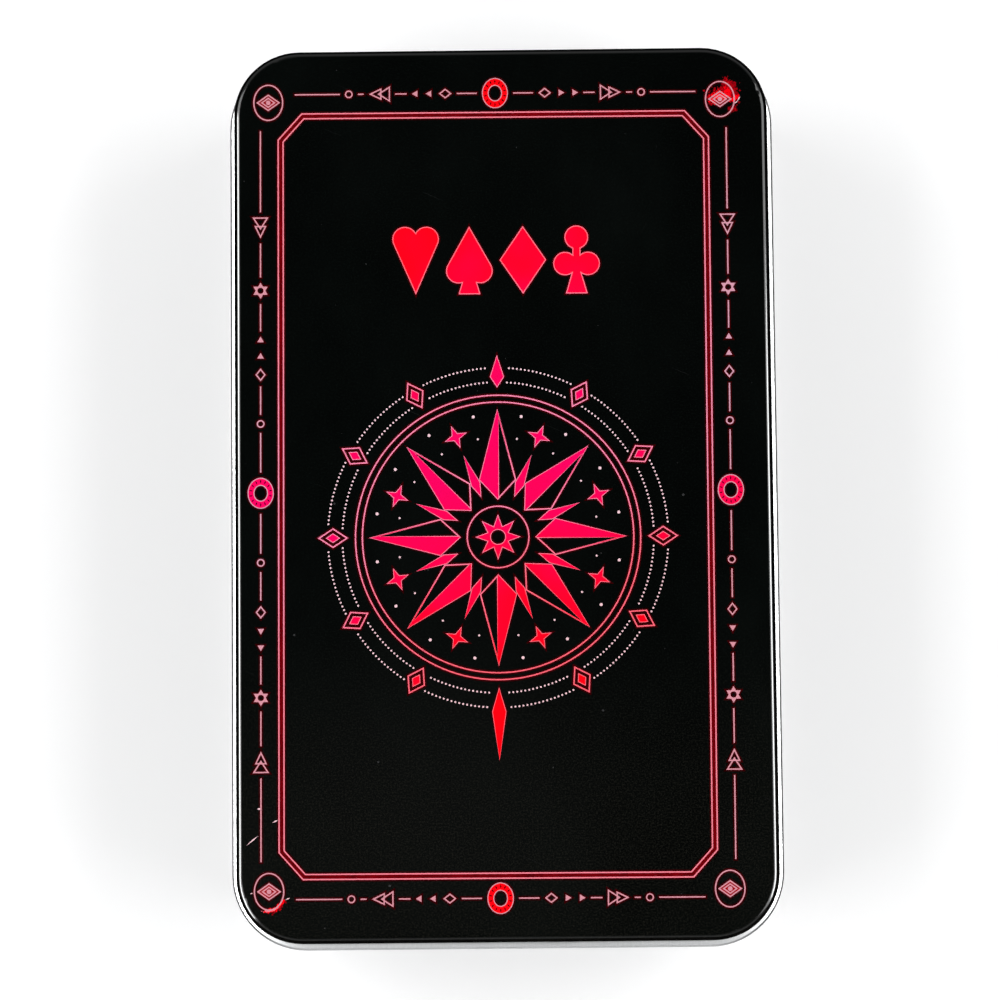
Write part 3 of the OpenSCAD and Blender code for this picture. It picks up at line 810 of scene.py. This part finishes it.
def side_seam():
    """The unprinted stripe on the rear wall, and the weld of the band's ends along it."""
    low = SEAM_H + 0.3 * MM
    high = CURL_Z
    mesh = bmesh.new()
    for half, height in ((1.6 * MM, 0.01 * MM), (0.35 * MM, 0.05 * MM)):
        section = [(-half, 0), (-0.8 * half, height), (0.8 * half, height), (half, 0)]
        lower = [mesh.verts.new((x, BASE_HALF_L + y, low)) for x, y in section]
        upper = [mesh.verts.new((x, BASE_HALF_L + y, high)) for x, y in section]
        for i in range(len(section) - 1):
            mesh.faces.new((lower[i + 1], lower[i], upper[i], upper[i + 1]))
    return piece("side_seam", mesh, TINPLATE, "base")


weld_spots("welds_left", "hinge_strap_left")
weld_spots("welds_right", "hinge_strap_right")
side_seam()

# ---------- studio ----------


def lamp(name, place, aim, size, radiance, gloss_only=False):
    """A rectangular lamp, given by its brightness; with gloss_only, only reflections show it."""
    width, height = size
    data = bpy.data.lights.new(name, "AREA")
    data.shape = "RECTANGLE"
    data.size = width
    data.size_y = height
    data.energy = radiance * math.pi * width * height
    made = bpy.data.objects.new(name, data)
    made.location = place
    made.rotation_euler = (Vector(aim) - Vector(place)).to_track_quat("-Z", "Y").to_euler()
    made.visible_camera = False
    if gloss_only:
        made.visible_diffuse = False
        data.cycles.max_bounces = 0
    scene.collection.objects.link(made)


TIN_MIDDLE = (0, 0, LID_TOP / 2)
SOFTBOX_X = 0.62
SOFTBOX_Z = 0.55
SOFTBOX_SIZE = (0.9, 0.5)
SOFTBOX_RADIANCE = 3.68
STRIP_X = 0.9
STRIP_Z = 0.68
STRIP_H = 0.44
STRIP_RADIANCE = 22
# Each strip's place along the tin, and its width.
STRIPS = {"left": (-0.21, 1.08), "right": (-0.12, 0.6)}

for side, label in ((-1, "left"), (1, "right")):
    softbox_at = (side * SOFTBOX_X, 0, SOFTBOX_Z)
    lamp("softbox_" + label, softbox_at, TIN_MIDDLE, SOFTBOX_SIZE, SOFTBOX_RADIANCE)
    strip_y, strip_w = STRIPS[label]
    strip_at = (side * STRIP_X, strip_y, STRIP_Z)
    strip_aim = (0, strip_y, STRIP_Z)
    lamp("strip_" + label, strip_at, strip_aim, (strip_w, STRIP_H), STRIP_RADIANCE, gloss_only=True)


FLOOR_HALF = 3.0
FLOOR_GLOW = 0.285


def floor():
    """A pale table top, a little brighter to the camera than the lamps alone make it."""
    mesh = bmesh.new()
    quarters = ((-1, -1), (1, -1), (1, 1), (-1, 1))
    corners = [(sx * FLOOR_HALF, sy * FLOOR_HALF) for sx, sy in quarters]
    mesh.faces.new([mesh.verts.new((x, y, 0)) for x, y in corners])
    data = bpy.data.meshes.new("floor")
    mesh.to_mesh(data)
    mesh.free()
    made = bpy.data.objects.new("floor", data)
    scene.collection.objects.link(made)
    paper = Finish("white_table", Roughness=0.6, Specular_IOR_Level=0.0)
    paper.shader.inputs["Emission Color"].default_value = (1, 1, 1, 1)
    grain = paper.noise(paper.per_mm(0.3, 0.3, 0.3), detail=3.0)
    seen = paper.light_path("Is Camera Ray")
    paper.drive(
        Base_Color=paper.mix(grain, (0.80, 0.80, 0.81), (0.82, 0.82, 0.82)),
        Emission_Strength=paper.math("MULTIPLY", seen, FLOOR_GLOW),
    )
    data.materials.append(paper.material)


floor()


WALL_LIGHT = 0.65
WALL_SHARE_IN_GLOSS = 0.7
CEILING_LIGHT = 0.012
OVERHEAD_LIGHT = 0.05


def studio_world():
    """White where the camera looks past the floor; else pale walls and a dark ceiling.

    A faint round light straight overhead gives the lid its slightly paler middle.
    """
    world = bpy.data.worlds.new("studio")
    world.use_nodes = True
    scene.world = world
    nodes = Nodes(world.node_tree, "Generated")
    x, y, z = nodes.parts(nodes.coordinates)
    walls = nodes.remap(z, 0.55, 0.92, WALL_LIGHT, CEILING_LIGHT, smooth=True)
    shown = nodes.light_path("Is Glossy Ray")
    walls = nodes.math("MULTIPLY", walls, nodes.remap(shown, 0, 1, 1.0, WALL_SHARE_IN_GLOSS))
    aside = nodes.math("ADD", x, 0.03)
    squares = nodes.math("ADD", nodes.math("MULTIPLY", aside, aside), nodes.math("MULTIPLY", y, y))
    away = nodes.math("SQRT", squares)
    ceiling = nodes.remap(away, 0.0, 0.09, OVERHEAD_LIGHT, 0.0, smooth=True)
    background = nodes.tree.nodes["Background"]
    background.inputs["Color"].default_value = (1, 1, 1, 1)
    seen = nodes.light_path("Is Camera Ray")
    strength = nodes.math("MAXIMUM", nodes.math("ADD", walls, ceiling), seen)
    nodes.join(strength, background.inputs["Strength"])


studio_world()
scene.view_settings.view_transform = "Standard"
